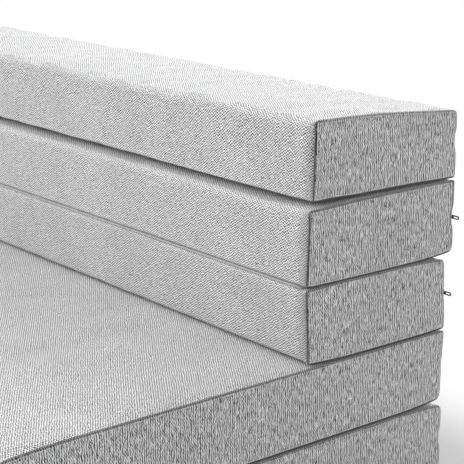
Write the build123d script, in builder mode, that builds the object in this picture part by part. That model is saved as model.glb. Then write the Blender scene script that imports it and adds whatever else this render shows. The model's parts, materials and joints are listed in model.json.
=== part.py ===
"""Folding sofa bed made of five foam blocks in zip-off fabric covers.

Two deep blocks make the base and the seat, and three narrow ones make the back.
Fabric flaps join each block to the next at alternate edges, front and rear, so that
the stack opens like a zigzag into one flat mattress.

Millimetres. +X runs along the sofa's width, +Y to its rear, and +Z up. The origin is
on the floor, under the middle of the folded sofa.
"""

import os
from dataclasses import dataclass

from build123d import *

# Blocks
sofa_width = 1400.0
seat_depth = 800.0
back_depth = 295.0
middle_overhang = 11.0  # the middle back block is this much deeper, at the rear
block_height = 120.0
stack_gap = 0.4
face_gap = 0.25  # a block's front and rear stand this far inside its fold lines

# Crown of a block: flat in the middle, and falling to its long edges and its ends
crown_run = 70.0
crown_radius = 900.0
free_edge_fall = 4.5
free_edge_radius = 14.0
hinged_edge_fall = 1.2
hinged_edge_radius = 7.0
end_run = 40.0
end_fall = 2.0
edge_setback = 5.0  # how far a leaning face's free edge stands back from its fold plane
rear_slope = 13.5  # how far the top block's top falls to its rear
rear_slope_run = 165.0

# Cover and foam
cloth = 1.6
rim_radius = 0.9
panel_gap = 0.15
panel_recess = 0.5
core_gap = 0.3
cut_overrun = 2.0

# Groove along the rear, where the zipper draws the cover in
groove_depth = 5.6
groove_mouth = 36.0
groove_floor = 18.0
groove_mouth_radius = 10.0
groove_floor_radius = 4.0

# Zipper
slot_height = 9.0
slot_margin = 9.0  # from the end of the block to the end of the slot
tape_height = 21.0
tape_thickness = 0.8
tape_overlap = 4.0  # beyond the end of the slot
tape_gap = 0.1
centre_slit = 1.2
coil_height = 2.3
coil_thickness = 2.0
coil_margin = 1.0  # from the end of the slot to the end of the coil

# Slider
slider_length = 12.0
slider_play = 0.2
slider_gap = 1.0  # from the coil's end to the parked slider
flange = 1.0
top_plate = 1.4
top_plate_radius = 0.45
back_plate = 1.0
neck_length = 4.0
neck_thickness = 0.6
bail_length = 6.4
bail_width = 1.4
bail_rise = 3.1
bail_bar = 0.8
bail_root = 0.5  # how far the bail reaches into the top plate

# Pull
pull_length = 30.0
pull_width = 6.0
pull_thickness = 1.2
pull_rise = 1.1  # from the slider's top plate to the middle of the pull's pin
pull_pin_radius = 0.7
pull_window_end = 4.4  # from the middle of the pin
pull_window_width = 2.2
pull_end_radius = 2.8
pull_grip_length = 9.0
pull_grip_width = 2.4
pull_grip_margin = 2.0  # from the pull's tip

# Hinge flaps
flap_width = 18.0
flap_thickness = 0.7
flap_setback = 0.3  # from the fold line
flap_end_margin = 12.0

# Places that follow from the sizes above
end = sofa_width / 2
front = -(seat_depth + middle_overhang) / 2
seat_rear = front + seat_depth
back_front = seat_rear - back_depth
middle_rear = seat_rear + middle_overhang
top_front = middle_rear - back_depth
tape_outside = cloth + tape_gap  # these four are measured inwards from the groove's floor
tape_inside = tape_outside + tape_thickness
plate_outside = tape_inside + slider_play
plate_inside = plate_outside + back_plate
coil_rise = coil_thickness - tape_outside  # these three outwards from it
top_plate_inside = coil_rise + slider_play
top_plate_outside = top_plate_inside + top_plate
slot_end = end - slot_margin
coil_end = slot_end - coil_margin
slider_place = coil_end - slider_gap - slider_length / 2
flange_inside = centre_slit / 2 + coil_height + slider_play
flange_outside = flange_inside + flange


@dataclass
class Block:
    """One foam block: its hinged long edges, those that stand back, and the end that its slider parks at."""

    name: str
    front: float
    rear: float
    level: int
    hinged: tuple
    set_back: tuple
    parked: int
    sloped: bool = False

    @property
    def depth(self):
        return self.rear - self.front

    @property
    def middle(self):
        return (self.front + self.rear) / 2

    @property
    def bottom(self):
        return self.level * (block_height + stack_gap)

    @property
    def top(self):
        return self.bottom + block_height

    @property
    def mid_height(self):
        return self.bottom + block_height / 2

    @property
    def groove(self):
        """The Y of the floor of the zipper's groove."""
        return self.rear - face_gap - groove_depth


base = Block("base", front, seat_rear, 0, ("front_top",), (), -1)
seat = Block("seat", front, seat_rear, 1, ("front_bottom", "rear_top"), ("rear_bottom",), -1)
lower_back = Block(
    "lower_back",
    back_front,
    seat_rear,
    2,
    ("rear_bottom", "front_top"),
    ("front_bottom", "rear_top"),
    1,
)
middle_back = Block(
    "middle_back",
    back_front,
    middle_rear,
    3,
    ("front_bottom", "rear_top"),
    ("front_top",),
    1,
)
top_back = Block("top_back", top_front, middle_rear, 4, ("rear_bottom",), (), -1, sloped=True)
blocks = [base, seat, lower_back, middle_back, top_back]


def section_plane(block, x):
    """A plane across the block at x, centred on it, whose own X runs to the rear."""
    return Plane(origin=(x, block.middle, block.mid_height), x_dir=(0, 1, 0), z_dir=(1, 0, 0))


def zipper_plane(block, x, outward):
    """A plane that faces the rear, outward of the groove's floor; its own X points to the parked end."""
    origin = (x, block.groove + outward, block.mid_height)
    return Plane(origin=origin, x_dir=(block.parked, 0, 0), z_dir=(0, 1, 0))


def outline(block, inset, fall):
    """The block's cross-section, drawn in by inset all round, its top and bottom lowered by fall."""
    half_depth = block.depth / 2 - face_gap
    half_height = block_height / 2 - fall
    shoulder = half_depth - crown_run

    def edge_fall(edge):
        if block.sloped and edge == "rear_top":
            return rear_slope
        firm = edge in block.hinged or (block.sloped and edge == "front_top")
        return hinged_edge_fall if firm else free_edge_fall

    def edge_radius(edge):
        return hinged_edge_radius if edge in block.hinged else free_edge_radius

    def edge_depth(edge):
        return half_depth - edge_setback if edge in block.set_back else half_depth

    corners = {
        "front_bottom": (-edge_depth("front_bottom"), edge_fall("front_bottom") - half_height),
        "rear_bottom": (edge_depth("rear_bottom"), edge_fall("rear_bottom") - half_height),
        "rear_top": (edge_depth("rear_top"), half_height - edge_fall("rear_top")),
        "front_top": (-edge_depth("front_top"), half_height - edge_fall("front_top")),
    }

    def rear_point(height):
        """The point of the block's leaning rear at a height."""
        low_depth, low_height = corners["rear_bottom"]
        high_depth, high_height = corners["rear_top"]
        share = (height - low_height) / (high_height - low_height)
        return (low_depth + share * (high_depth - low_depth), height)

    rear_shoulder = half_depth - rear_slope_run if block.sloped else shoulder
    low_crown = [(-shoulder, -half_height), (shoulder, -half_height)]
    high_crown = [(rear_shoulder, half_height), (-shoulder, half_height)]
    mouth = [rear_point(-groove_mouth / 2), rear_point(groove_mouth / 2)]
    floor_depth = half_depth - groove_depth
    floor = [(floor_depth, -groove_floor / 2), (floor_depth, groove_floor / 2)]
    points = [corners["front_bottom"], *low_crown, corners["rear_bottom"]]
    points += [mouth[0], *floor, mouth[1]]
    points += [corners["rear_top"], *high_crown, corners["front_top"]]
    rounds = [(point, crown_radius) for point in low_crown + high_crown]
    rounds += [(point, groove_mouth_radius) for point in mouth]
    rounds += [(point, groove_floor_radius) for point in floor]
    rounds += [(point, edge_radius(edge)) for edge, point in corners.items()]
    with BuildSketch() as section:
        with BuildLine():
            Polyline(*points, close=True)
        make_face()
        for point, radius in rounds:
            fillet(section.vertices().sort_by_distance((*point, 0))[0], radius=radius)
        if inset > 0:
            offset(amount=-inset, mode=Mode.REPLACE)
    return section.sketch


def crowned_body(block, inset, half_length):
    """The whole block, drawn in by inset all round, and a little thinner towards its ends."""
    full = end - end_run
    sections = [(-half_length, end_fall), (-full, 0), (full, 0), (half_length, end_fall)]
    with BuildPart() as body:
        for x, fall in sections:
            with BuildSketch(section_plane(block, x)):
                add(outline(block, inset, fall))
        loft(ruled=True)
    return body.part


def zipper_cut(block, inward, height, half_length):
    """A long box centred on the zipper that opens the rear from inward of the groove's floor."""
    with BuildPart() as cut:
        with BuildSketch(zipper_plane(block, 0, -inward)):
            Rectangle(2 * half_length, height)
        extrude(amount=inward + cut_overrun)
    return cut.part


def make_cover(block):
    """The fabric that wraps the block, open at both ends for the end panels and slotted for the zipper."""
    outside = crowned_body(block, 0, end)
    inside = crowned_body(block, cloth, end + cut_overrun)
    slot = zipper_cut(block, cloth + cut_overrun, slot_height, slot_end)
    with BuildPart() as cover:
        add(outside)
        rims = cover.faces().sort_by(Axis.X)
        fillet(rims[0].edges() + rims[-1].edges(), radius=rim_radius)
        add(inside, mode=Mode.SUBTRACT)
        add(slot, mode=Mode.SUBTRACT)
    return cover.part


def make_end_panel(block, side):
    """The flat panel sewn into one end of the cover: side is 1 for the right end and -1 for the left."""
    shape = outline(block, cloth + panel_gap, end_fall)
    with BuildPart() as panel:
        with BuildSketch(section_plane(block, side * (end - panel_recess))):
            add(shape)
        extrude(amount=-side * cloth)
    return panel.part


def make_foam(block):
    """The foam inside the cover, with a channel that clears the zipper's tape and slider."""
    body = crowned_body(block, cloth + core_gap, end - panel_recess - cloth - core_gap)
    tape_channel = zipper_cut(
        block,
        tape_inside + core_gap,
        tape_height + 2 * core_gap,
        slot_end + tape_overlap + core_gap,
    )
    plate_channel = zipper_cut(
        block,
        plate_inside + core_gap,
        2 * (flange_outside + core_gap),
        slot_end,
    )
    with BuildPart() as foam:
        add(body)
        add(tape_channel, mode=Mode.SUBTRACT)
        add(plate_channel, mode=Mode.SUBTRACT)
    return foam.part


def make_tape(block):
    """The zipper's two woven tapes, one above and one below the slit between them."""
    half_height = (tape_height - centre_slit) / 2
    rise = (centre_slit + half_height) / 2
    with BuildPart() as tape:
        with BuildSketch(zipper_plane(block, 0, -tape_outside)):
            with Locations((0, rise), (0, -rise)):
                Rectangle(2 * (slot_end + tape_overlap), half_height)
        extrude(amount=-tape_thickness)
    return tape.part


def make_coil(block):
    """The two rows of zipper teeth, as bars that lie on the tapes."""
    rise = (centre_slit + coil_height) / 2
    with BuildPart() as coil:
        with BuildSketch(zipper_plane(block, 0, -tape_outside)):
            with Locations((0, rise), (0, -rise)):
                Rectangle(2 * coil_end, coil_height)
        extrude(amount=coil_thickness)
    return coil.part


def make_slider(block):
    """Two plates joined by a neck in the slit, with flanges beside the teeth and a bail on top."""
    place = block.parked * slider_place
    flange_foot = slider_play - tape_outside
    flange_rise = (flange_inside + flange_outside) / 2
    with BuildPart() as slider:
        with BuildSketch(zipper_plane(block, place, top_plate_inside)):
            RectangleRounded(slider_length, 2 * flange_outside, flange)
        extrude(amount=top_plate)
        fillet(slider.faces().sort_by(Axis.Y)[-1].edges(), radius=top_plate_radius)
        with BuildSketch(zipper_plane(block, place, flange_foot)):
            with Locations((0, flange_rise), (0, -flange_rise)):
                Rectangle(slider_length - 2 * flange, flange)
        extrude(amount=top_plate_inside - flange_foot)
        with BuildSketch(zipper_plane(block, place, -plate_inside)):
            RectangleRounded(slider_length, 2 * flange_outside, flange)
        extrude(amount=back_plate)
        with BuildSketch(zipper_plane(block, place, -plate_outside)):
            Rectangle(neck_length, neck_thickness)
        extrude(amount=plate_outside + top_plate_inside)
        with BuildSketch(zipper_plane(block, place, top_plate_outside - bail_root)):
            Rectangle(bail_length, bail_width)
        extrude(amount=bail_root + bail_rise)
        fillet(slider.faces().sort_by(Axis.Y)[-1].edges().filter_by(Axis.Z), radius=bail_bar)
        with BuildSketch(zipper_plane(block, place, top_plate_outside)):
            Rectangle(bail_length - 2 * bail_bar, bail_width)
        extrude(amount=bail_rise - bail_bar, mode=Mode.SUBTRACT)
    return slider.part


def make_pull(block):
    """The flat tab on the slider's bail, turned about its own pin, lying towards the block's end."""
    place = block.parked * slider_place
    pin_outward = top_plate_outside + pull_rise
    tip = pull_length - pull_pin_radius
    window_length = pull_window_end + pull_pin_radius
    grip_centre = tip - pull_grip_margin - pull_grip_length / 2
    with BuildPart() as pull:
        with BuildSketch(zipper_plane(block, place, pin_outward - pull_thickness / 2)):
            with Locations((-pull_pin_radius, 0)):
                Rectangle(pull_length, pull_width, align=(Align.MIN, Align.CENTER))
            fillet(vertices().group_by(Axis.X)[-1], radius=pull_end_radius)
            with Locations((-pull_pin_radius, 0)):
                Rectangle(
                    window_length,
                    pull_window_width,
                    align=(Align.MIN, Align.CENTER),
                    mode=Mode.SUBTRACT,
                )
            with Locations((grip_centre, 0)):
                SlotOverall(pull_grip_length, pull_grip_width, mode=Mode.SUBTRACT)
        extrude(amount=pull_thickness)
        pin_foot = (place, block.groove + pin_outward, block.mid_height - pull_width / 2)
        with BuildSketch(Plane(origin=pin_foot, z_dir=(0, 0, 1))):
            Circle(pull_pin_radius)
        extrude(amount=pull_width)
    return pull.part


def make_flap(block, side, height):
    """Half of a fabric hinge: side is front or rear, and height is top or bottom."""
    fold = block.front if side == "front" else block.rear
    inward = 1 if side == "front" else -1
    low = block.top - flap_thickness if height == "top" else block.bottom
    middle = fold + inward * (flap_setback + flap_width) / 2
    with BuildPart() as flap:
        with BuildSketch(Plane.XY.offset(low)):
            with Locations((0, middle)):
                Rectangle(sofa_width - 2 * flap_end_margin, flap_width - flap_setback)
        extrude(amount=flap_thickness)
    return flap.part


def save(part, name):
    """Name a finished piece and write its file."""
    part.label = name
    export_step(part, f"parts/{name}.step")


os.makedirs("parts", exist_ok=True)
for block in blocks:
    save(make_cover(block), f"{block.name}_cover")
    save(make_end_panel(block, 1), f"{block.name}_right_end_panel")
    save(make_end_panel(block, -1), f"{block.name}_left_end_panel")
    save(make_foam(block), f"{block.name}_foam")
    save(make_tape(block), f"{block.name}_zipper_tape")
    save(make_coil(block), f"{block.name}_zipper_coil")
    save(make_slider(block), f"{block.name}_zipper_slider")
    save(make_pull(block), f"{block.name}_zipper_pull")
    for edge in block.hinged:
        side, height = edge.split("_")
        save(make_flap(block, side, height), f"{block.name}_{side}_flap")
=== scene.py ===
"""Looks of the folding sofa bed: five foam blocks in woven grey covers, stacked as base, seat and back.

Metres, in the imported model's own frame: +X along the sofa's width, +Y to its rear, +Z up.
"""

import json
import math

import bmesh
import bpy
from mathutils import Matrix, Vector, noise


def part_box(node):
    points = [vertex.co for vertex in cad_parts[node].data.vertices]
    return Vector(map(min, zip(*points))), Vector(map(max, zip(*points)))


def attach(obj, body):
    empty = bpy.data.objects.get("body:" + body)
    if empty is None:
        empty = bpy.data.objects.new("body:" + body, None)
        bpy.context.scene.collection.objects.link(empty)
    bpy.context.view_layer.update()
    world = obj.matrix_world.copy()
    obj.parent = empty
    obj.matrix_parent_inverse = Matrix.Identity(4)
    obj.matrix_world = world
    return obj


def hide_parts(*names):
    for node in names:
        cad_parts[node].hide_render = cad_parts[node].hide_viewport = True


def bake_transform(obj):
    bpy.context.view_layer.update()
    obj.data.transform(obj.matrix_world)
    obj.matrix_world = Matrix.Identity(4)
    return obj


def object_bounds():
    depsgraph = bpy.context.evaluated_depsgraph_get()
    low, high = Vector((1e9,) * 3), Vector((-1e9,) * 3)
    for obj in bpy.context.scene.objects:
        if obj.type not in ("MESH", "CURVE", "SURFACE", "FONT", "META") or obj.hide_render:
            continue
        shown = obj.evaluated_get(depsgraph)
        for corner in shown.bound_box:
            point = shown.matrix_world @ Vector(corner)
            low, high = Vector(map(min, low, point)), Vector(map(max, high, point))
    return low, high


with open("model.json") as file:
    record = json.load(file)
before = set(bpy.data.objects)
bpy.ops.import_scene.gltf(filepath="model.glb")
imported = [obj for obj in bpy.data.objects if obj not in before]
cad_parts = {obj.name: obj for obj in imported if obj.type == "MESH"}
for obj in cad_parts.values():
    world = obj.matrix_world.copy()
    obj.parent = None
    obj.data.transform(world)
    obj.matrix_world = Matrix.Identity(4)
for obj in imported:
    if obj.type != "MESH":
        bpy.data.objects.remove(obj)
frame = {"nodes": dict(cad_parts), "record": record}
cad_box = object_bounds()

# The blocks from the floor up, each with its long edges that a fabric hinge joins to a neighbour
HINGED = {
    "base": ("front_top",),
    "seat": ("front_bottom", "rear_top"),
    "lower_back": ("rear_bottom", "front_top"),
    "middle_back": ("front_bottom", "rear_top"),
    "top_back": ("rear_bottom",),
}
BLOCKS = list(HINGED)
DEEP = ("base", "seat")
SLOPED = "top_back"
SAGGING = "middle_back"

# Section of a block: its faces fall to their edges, and its rear is drawn in along the zipper
CROWN_RUN = 0.070
CROWN_RADIUS = 0.900
REAR_SLOPE_RUN = 0.165
FREE_FALL = 0.0045
FREE_RADIUS = 0.014
HINGED_FALL = 0.0012
HINGED_RADIUS = 0.007
GROOVE_DEPTH = 0.0056
GROOVE_MOUTH = 0.036
GROOVE_FLOOR = 0.018
GROOVE_MOUTH_RADIUS = 0.010
GROOVE_FLOOR_RADIUS = 0.004
ROUNDING_STEPS = 12
LONG_EDGES = {"front_top": 0, "rear_top": 3, "rear_bottom": 8, "front_bottom": 11}

# Fall and radius of the edges that the photograph shows otherwise
ODD_EDGES = {
    (SLOPED, "front_top"): (HINGED_FALL, FREE_RADIUS),
    (SLOPED, "rear_top"): (0.0135, FREE_RADIUS),
    (SLOPED, "front_bottom"): (0.0055, HINGED_RADIUS),
    (SAGGING, "front_top"): (0.0085, FREE_RADIUS),
}

# How far free edges stand back from the fold plane, and the top block's front leans back
STAND_BACKS = {
    ("seat", "rear_bottom"): 0.005,
    ("lower_back", "front_bottom"): 0.005,
    ("lower_back", "rear_top"): 0.005,
    ("middle_back", "front_top"): 0.005,
    (SLOPED, "front_top"): 0.003,
}

# How far a block's top and bottom draw in at its sewn ends, over the last stretch of its length
END_RUN = 0.055
CRISP_RUN = 0.022
END_FALLS = {
    "base": (0.0010, 0.0004),
    "seat": (0.0008, 0.0004),
    "lower_back": (0, 0.0002),
    "middle_back": (0.0012, 0),
    "top_back": (-0.0012, 0.0042),
}
HINGE_HOLD = 0.85
HINGE_HOLD_RUN = 0.11
LOW_FRONT_SHARE = 0.15
LOW_FRONT_RUN = 0.045
CORNER_LIFT = 0.0045
CORNER_RUN = 0.090
END_RADIUS = 0.005
FREE_END_RADIUS = 0.011

# Rows of the cover's mesh: their spacing round a block and along it, and then the closer rows from
# each long edge, from the middle of the rear, and from the sewn end
DEEP_SPACING = (0.025, 0.022)
SLIM_SPACING = (0.018, 0.018)
EDGE_STEPS = (0, 0.002, 0.0045, 0.008, 0.013, 0.020, 0.030)
GROOVE_STEPS = (0.018, 0.0135, 0.0095, 0.0072, 0.0045)
GROOVE_LINES = 4
RIM_STEPS = (  # (inwards from the cover's face, inwards from the sofa's end)
    (0.0028, 0.0022),
    (0.0026, 0.0007),
    (0.0020, 0),
    (0.0014, 0.0007),
    (0.0010, 0.0025),
    (0.0007, 0.0052),
    (0.0004, 0.009),
    (0.0002, 0.016),
    (0, 0.027),
    (0, 0.042),
)

# The end seams: how much painted shade darkens each row beside them, how much less of it some of their
# sides get, and how they sink between cover and panel
SEAM_PAINTED_SHADES = (1, 1, 1, 0.95, 0.55, 0.42, 0.32, 0.2)
PANEL_PAINTED_SHADES = (1, 0.5, 0.15)
UPPER_RIM_SHADE_CUT = 0.1
UPPER_SHADE_CUT = 0.95
REAR_SHADE_CUT = 0.75
PANEL_REAR_SHADE_SHARE = 0.3
PANEL_FOOT_SHADE_SHARE = 0.5
SEAM_STRAY = 0.0005
SEAM_STRAY_RUN = 0.002
PANEL_INSET = 0.0029
PANEL_DITCH = 0.0024
PRESSED = 0.55
FLAT_TUCK = 0.15
FLAT_FROM = 0.008
FLAT_RUN = 0.02
# The painted seam shade fades out at this share of the seam's depth, so it is faint where a seam lies flat
PAINTED_SHADE_TUCK_FROM = FLAT_TUCK * 0.9
SLOT_MARGIN = 0.009
GROOVE_FADE = 0.36

# (along the sofa, how far the top block's front edge rides up there)
CREST_LIFTS = (
    (-0.70, 0.0015),
    (-0.40, 0.0030),
    (-0.05, 0.0055),
    (0.10, 0.0028),
    (0.27, 0.0018),
    (0.46, 0.0058),
    (0.60, 0.0030),
    (0.70, 0.0034),
)
CREST_RUN = 0.16

# Cloth: how far wear reaches, its thickness, and how it swells; each pair of limits is (inwards, outwards)
EDGE_WEAR = 0.012
END_WEAR = 0.005
CLOTH = 0.0012
HINGE_CLOTH = 0.00065
TAPE_CLOTH = 0.00055
CLOTH_FRAMES = 20
CLOTH_SETTINGS = {
    "quality": 6,
    "mass": 0.3,
    "tension_stiffness": 25,
    "compression_stiffness": 25,
    "shear_stiffness": 10,
    "bending_stiffness": 4,
    "use_pressure": True,
    "uniform_pressure_force": 4,
    "vertex_group_mass": "held",
    "shrink_min": -0.012,
}
HELD_END = 0.004
SOFT_HOLD = 0.3
FREE_SWELL = (0.0020, 0.0028)
STACKED_SWELL = (0.0008, 0)
FOLD_SWELL = (0.0022, 0)
GROOVE_SWELL = (0, 0.0003)
PANEL_SWELL = (0.001, 0.0025)
SLIDE = 0.0012

# Foam: its gap to the cover, its ends, and the channel behind the zipper
CORE_GAP = 0.0022
CORE_END = 0.0062
CORE_ROUNDING = 0.003
CORE_FIRST_RING = 0.0085
CORE_CHANNEL = 0.008

# Hinge strips and zipper tapes: steps inwards from the fold, and (rise, thickness) across a tape
STRIP_ROWS = 56
FLAP_STEPS = (0.0177, 0.014, 0.010, 0.006, 0.003, 0.0015)
FOLD_STEPS = 8
FOLD_INSET = 0.0009
TAPE_PROFILE = ((0.0007, 0), (0.0016, 0.00012), (0.0027, 0.00012), (0.0036, 0), (0.0065, 0), (0.0104, 0))

# Stitches and teeth: spacing, size and unevenness, and where their rows run
STITCH = (0.0042, (0.0030, 0.0013, 0.0013), 0.12)
SLOT_SEAM_LIFT = 0.0001
SLOT_SEAM_END = 0.012
END_SEAM_LIFT = 0.0002
FLAP_SEAM_LIFT = 0.0003
FLAP_SEAM_INSET = 0.003
FLAP_SEAM_END = 0.004
FLAP_SEAM_STEPS = 8
TOOTH = (0.0015, (0.0011, 0.0019, 0.0027), 0.04)
TOOTH_ROW = 0.0014
TOOTH_SHIFTS = ((1, 0.0008), (-1, 0.00155))
TOOTH_END = 0.0008

# The photograph: a square frame and the lens's focal length in its pixels, and where the camera
# stands from the right front foot of the back
PHOTO_SIDE = 464
FOCAL_PIXELS = 1468
SENSOR_MILLIMETRES = 36
CAMERA_FROM_BACK = Vector((1.4955, -1.3421, 0.979))
CAMERA_YAW = 0.892
CAMERA_PITCH = 0.259

WHITE = (1, 1, 1, 1)
WORLD_STRENGTH = 0.82
FLOOR_GREY = (0.42, 0.42, 0.42, 1)
FLOOR_HALF = 14
FLOOR_DROP = 0.0005
FLOOR_FADE = (0.04, 0.30)
LAMPS = (  # name, place, target, size, power
    ("rear_panel", (-0.4, 2.8, 2.5), (0, 0.2, 0.4), 2.2, 112),
    ("front_panel", (-0.3, -2.7, 2.4), (0, 0, 0.5), 1.8, 66),
    ("right_panel", (2.2, -0.6, 1.5), (0.7, 0, 0.5), 1.0, 7),
)


def smooth(share):
    """0 below 0, 1 above 1, and a soft step between them."""
    share = min(max(share, 0), 1)
    return share * share * (3 - 2 * share)


def new_object(name, data):
    """An object in the scene."""
    made = bpy.data.objects.new(name, data)
    bpy.context.scene.collection.objects.link(made)
    return made


def mesh_piece(name, points, faces, uvs=None):
    """A smooth piece from its points and faces, and each face corner's place on the cloth if given."""
    mesh = bpy.data.meshes.new(name)
    mesh.from_pydata(points, [], faces)
    if uvs:
        layer = mesh.uv_layers.new(name="cloth")
        for loop, place in zip(layer.data, uvs):
            loop.uv = place
    mesh.shade_smooth()
    return new_object(name, mesh)


def mark(piece, name, values):
    """A value for each point, which the materials read."""
    layer = piece.data.attributes.new(name, "FLOAT", "POINT")
    layer.data.foreach_set("value", [float(value) for value in values])


def cell(row, column):
    """The corners of a grid's cell as (row, column), in the order of a face."""
    return (row, column), (row + 1, column), (row + 1, column + 1), (row, column + 1)


def travelled(steps):
    """How far along a line each of its points is, from the lengths of its steps."""
    distances = [0]
    for step in steps:
        distances.append(distances[-1] + step)
    return distances


def settled(piece):
    """The piece with its modifiers made part of its mesh."""
    graph = bpy.context.evaluated_depsgraph_get()
    mesh = bpy.data.meshes.new_from_object(piece.evaluated_get(graph))
    piece.modifiers.clear()
    piece.data = mesh
    return piece


def thicken(piece, thickness, offset=0):
    """Give a sheet its thickness: about its middle, or all inwards where offset is -1."""
    cloth = piece.modifiers.new("cloth", "SOLIDIFY")
    cloth.thickness = thickness
    cloth.offset = offset


def subdivided(piece):
    """The piece divided once; its first points stay those that it had."""
    finer = piece.modifiers.new("finer", "SUBSURF")
    finer.levels = finer.render_levels = 1
    return settled(piece)


def drop_loose(piece):
    """Delete the points that no face uses."""
    used = {index for face in piece.data.polygons for index in face.vertices}
    shape = bmesh.new()
    shape.from_mesh(piece.data)
    shape.verts.ensure_lookup_table()
    bmesh.ops.delete(shape, geom=[v for v in shape.verts if v.index not in used], context="VERTS")
    shape.to_mesh(piece.data)
    shape.free()


# Section of a block


def rounded(corners):
    """A closed line of (y, z) points through corners (y, z, radius), and where each corner's middle is."""
    line = []
    middles = []
    for i, (y, z, radius) in enumerate(corners):
        here = Vector((y, z))
        before = (Vector(corners[i - 1][:2]) - here).normalized()
        after = (Vector(corners[(i + 1) % len(corners)][:2]) - here).normalized()
        half = before.angle(after) / 2
        centre = here + (before + after).normalized() * (radius / math.sin(half))
        reach = radius / math.tan(half)
        start = here + before * reach - centre
        turn = start.angle_signed(here + after * reach - centre)
        middles.append(len(line) + ROUNDING_STEPS // 2)
        for step in range(ROUNDING_STEPS + 1):
            angle = -turn * step / ROUNDING_STEPS
            line.append(centre + Vector((
                start.x * math.cos(angle) - start.y * math.sin(angle),
                start.x * math.sin(angle) + start.y * math.cos(angle),
            )))
    return line, middles


def block_corners(block):
    """The rounded corners of a block's section, from the front top edge over the top and round."""
    low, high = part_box(f"{block}_cover")
    middle = (low.z + high.z) / 2

    def edge(name):
        side, height = name.split("_")
        usual = (HINGED_FALL, HINGED_RADIUS) if name in HINGED[block] else (FREE_FALL, FREE_RADIUS)
        fall, radius = ODD_EDGES.get((block, name), usual)
        back = STAND_BACKS.get((block, name), 0)
        y = low.y + back if side == "front" else high.y - back
        z = high.z - fall if height == "top" else low.z + fall
        return y, z, radius

    rear_top = edge("rear_top")
    rear_bottom = edge("rear_bottom")

    def groove(rise, inward, radius):
        share = (middle + rise - rear_bottom[1]) / (rear_top[1] - rear_bottom[1])
        y = high.y - inward if inward else rear_bottom[0] + share * (rear_top[0] - rear_bottom[0])
        return y, middle + rise, radius

    rear_run = REAR_SLOPE_RUN if block == SLOPED else CROWN_RUN
    return [
        edge("front_top"),
        (low.y + CROWN_RUN, high.z, CROWN_RADIUS),
        (high.y - rear_run, high.z, CROWN_RADIUS),
        rear_top,
        groove(GROOVE_MOUTH / 2, 0, GROOVE_MOUTH_RADIUS),
        groove(GROOVE_FLOOR / 2, GROOVE_DEPTH, GROOVE_FLOOR_RADIUS),
        groove(-GROOVE_FLOOR / 2, GROOVE_DEPTH, GROOVE_FLOOR_RADIUS),
        groove(-GROOVE_MOUTH / 2, 0, GROOVE_MOUTH_RADIUS),
        rear_bottom,
        (high.y - CROWN_RUN, low.z, CROWN_RADIUS),
        (low.y + CROWN_RUN, low.z, CROWN_RADIUS),
        edge("front_bottom"),
    ]


def walk(line, distances):
    """Points of a line at distances along it."""
    points = []
    passed = 0
    i = 0
    for distance in distances:
        while i < len(line) - 2 and passed + (line[i + 1] - line[i]).length < distance:
            passed += (line[i + 1] - line[i]).length
            i += 1
        step = (line[i + 1] - line[i]).length
        points.append(line[i].lerp(line[i + 1], min((distance - passed) / max(step, 1e-9), 1)))
    return points


def side_rows(line, middle, spacing=None):
    """Points of one side of a section: close at its edges, and between them even or in step with the groove."""
    total = sum((b - a).length for a, b in zip(line, line[1:]))
    heads = tails = EDGE_STEPS
    if spacing:
        count = round((total - 2 * heads[-1]) / spacing)
        inner = [heads[-1] + (total - 2 * heads[-1]) * k / count for k in range(1, count)]
    else:
        rises = [*GROOVE_STEPS, 0, *[-step for step in reversed(GROOVE_STEPS)]]
        if line[0].y < line[-1].y:
            rises.reverse()
        inner = []
        passed = 0
        for a, b in zip(line, line[1:]):
            while rises and (a.y - middle - rises[0]) * (b.y - middle - rises[0]) <= 0 and a.y != b.y:
                share = (middle + rises.pop(0) - a.y) / (b.y - a.y)
                inner.append(passed + share * (b - a).length)
            passed += (b - a).length
        heads, tails = (
            (*EDGE_STEPS[:-1], (EDGE_STEPS[-2] + first) / 2) for first in (inner[0], total - inner[-1])
        )
    return walk(line, [*heads, *inner, *(total - step for step in reversed(tails))])


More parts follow.
